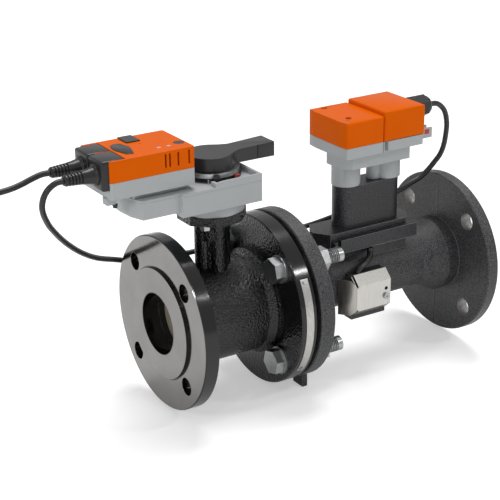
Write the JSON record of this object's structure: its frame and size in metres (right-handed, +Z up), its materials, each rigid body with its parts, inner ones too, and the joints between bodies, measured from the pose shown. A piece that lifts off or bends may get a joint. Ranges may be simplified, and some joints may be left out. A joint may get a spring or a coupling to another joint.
{
  "type": "pressure independent control valve",
  "caption": "Flanged ball valve with an ultrasonic flow sensor, a rotary actuator with hand lever, and two cables, which holds a set flow in a pipe.",
  "frame": {"origin": "centre of the inlet raised face, on the pipe axis", "axes": "+X along the flow from inlet to outlet, +Z up along the valve stem, +Y away from the label side"},
  "size_m": [0.679, 0.1921, 0.293],
  "materials": {
    "valve_paint": "gloss black paint on cast iron",
    "sensor_paint": "matt dark grey coat on rough casting",
    "zinc": "bright zinc plating",
    "stainless": "brushed stainless sheet",
    "seal_plastic": "beige sealing plastic",
    "gear_plastic": "pale gear plastic",
    "seal_rubber": "black rubber",
    "gasket": "grey fibre gasket",
    "black_plastic": "black moulded plastic",
    "saddle_paint": "smooth black paint",
    "grey_plastic": "light grey moulded plastic",
    "orange_plastic": "orange moulded plastic",
    "board": "green circuit board",
    "cable_jacket": "black cable jacket",
    "red_plastic": "red marker",
    "lamp_plastic": "translucent button",
    "copper": "tinned wires"
  },
  "bodies": {
    "valve": {"valve_body": "valve_paint", "body_insert": "valve_paint", "seat_rings": "seal_plastic", "characterising_disc": "seal_plastic", "flange_gasket": "gasket", "flange_bolts": "zinc", "flange_washers": "zinc", "flange_nuts": "zinc", "pad_bolts": "zinc", "label_strip": "stainless", "label_rivets": "zinc", "sensor_casting": "sensor_paint", "sensor_saddle": "saddle_paint", "cable_bar": "saddle_paint", "transducer_block": "saddle_paint", "transducers": "stainless", "steel_cover": "stainless", "cover_screw": "zinc", "pocket_cable": "cable_jacket", "sensor_pillar": "saddle_paint", "electronics_housing": "grey_plastic", "electronics_board": "board", "low_cap": "orange_plastic", "high_cap": "orange_plastic", "cap_screws": "zinc", "cable_gland": "black_plastic", "gland_nut": "black_plastic", "release_tab": "grey_plastic", "gear_housing": "grey_plastic", "gear_cover": "grey_plastic", "hub_bush": "seal_plastic", "scale_ring": "grey_plastic", "scale_marker": "red_plastic", "gear_shaft": "zinc", "motor": "zinc", "drive_housing": "grey_plastic", "drive_cap": "orange_plastic", "drive_board": "board", "button_spring": "zinc", "socket_cover": "black_plastic", "sensor_plug": "black_plastic", "supply_plug": "black_plastic", "sensor_cable": "cable_jacket", "supply_cable": "cable_jacket", "supply_coil": "cable_jacket", "supply_wires": "copper"},
    "rotor": {"ball": "zinc", "stem": "zinc", "drive_hub": "zinc", "output_gear": "gear_plastic", "metal_ring": "stainless", "hand_lever": "black_plastic", "stem_seals": "seal_rubber"},
    "gear_pair": {"gear_wheels": "gear_plastic"},
    "motor_rotor": {"motor_pinion": "zinc"},
    "override": {"override_button": "black_plastic"},
    "left_signal": {"left_signal_button": "lamp_plastic"},
    "right_signal": {"right_signal_button": "lamp_plastic"},
    "near_stop": {"near_end_stop": "black_plastic"},
    "right_stop": {"right_end_stop": "black_plastic"}
  },
  "joints": [
    {"name": "valve_turn", "type": "hinge", "parent": "valve", "child": "rotor", "pos_m": [0.067, 0, 0.14], "axis": [0, 0, 1], "range_deg": [-90, 0]},
    {"name": "gear_turn", "type": "hinge", "parent": "valve", "child": "gear_pair", "pos_m": [0.032, 0, 0.14], "axis": [0, 0, 1], "range_deg": [-5, 335]},
    {"name": "motor_turn", "type": "hinge", "parent": "valve", "child": "motor_rotor", "pos_m": [0.0112, 0, 0.14], "axis": [0, 0, 1], "range_deg": [-1110, 10]},
    {"name": "override_press", "type": "slide", "parent": "valve", "child": "override", "axis": [0, 0, -1], "range_m": [0, 0.0025], "stiffness_N_per_m": 300, "deforming": ["button_spring"]},
    {"name": "left_signal_press", "type": "slide", "parent": "valve", "child": "left_signal", "axis": [0, 0, -1], "range_m": [0, 0.0006], "stiffness_N_per_m": 100},
    {"name": "right_signal_press", "type": "slide", "parent": "valve", "child": "right_signal", "axis": [0, 0, -1], "range_m": [0, 0.0006], "stiffness_N_per_m": 100},
    {"name": "near_stop_shift", "type": "hinge", "parent": "valve", "child": "near_stop", "pos_m": [0.067, 0, 0.14], "axis": [0, 0, 1], "range_deg": [-6.5, 0]},
    {"name": "right_stop_shift", "type": "hinge", "parent": "valve", "child": "right_stop", "pos_m": [0.067, 0, 0.14], "axis": [0, 0, 1], "range_deg": [0, 15]}
  ],
  "couplings": [
    {"joint": "gear_turn", "follows": "valve_turn", "ratio": -3.6667},
    {"joint": "motor_turn", "follows": "valve_turn", "ratio": 12.222}
  ]
}
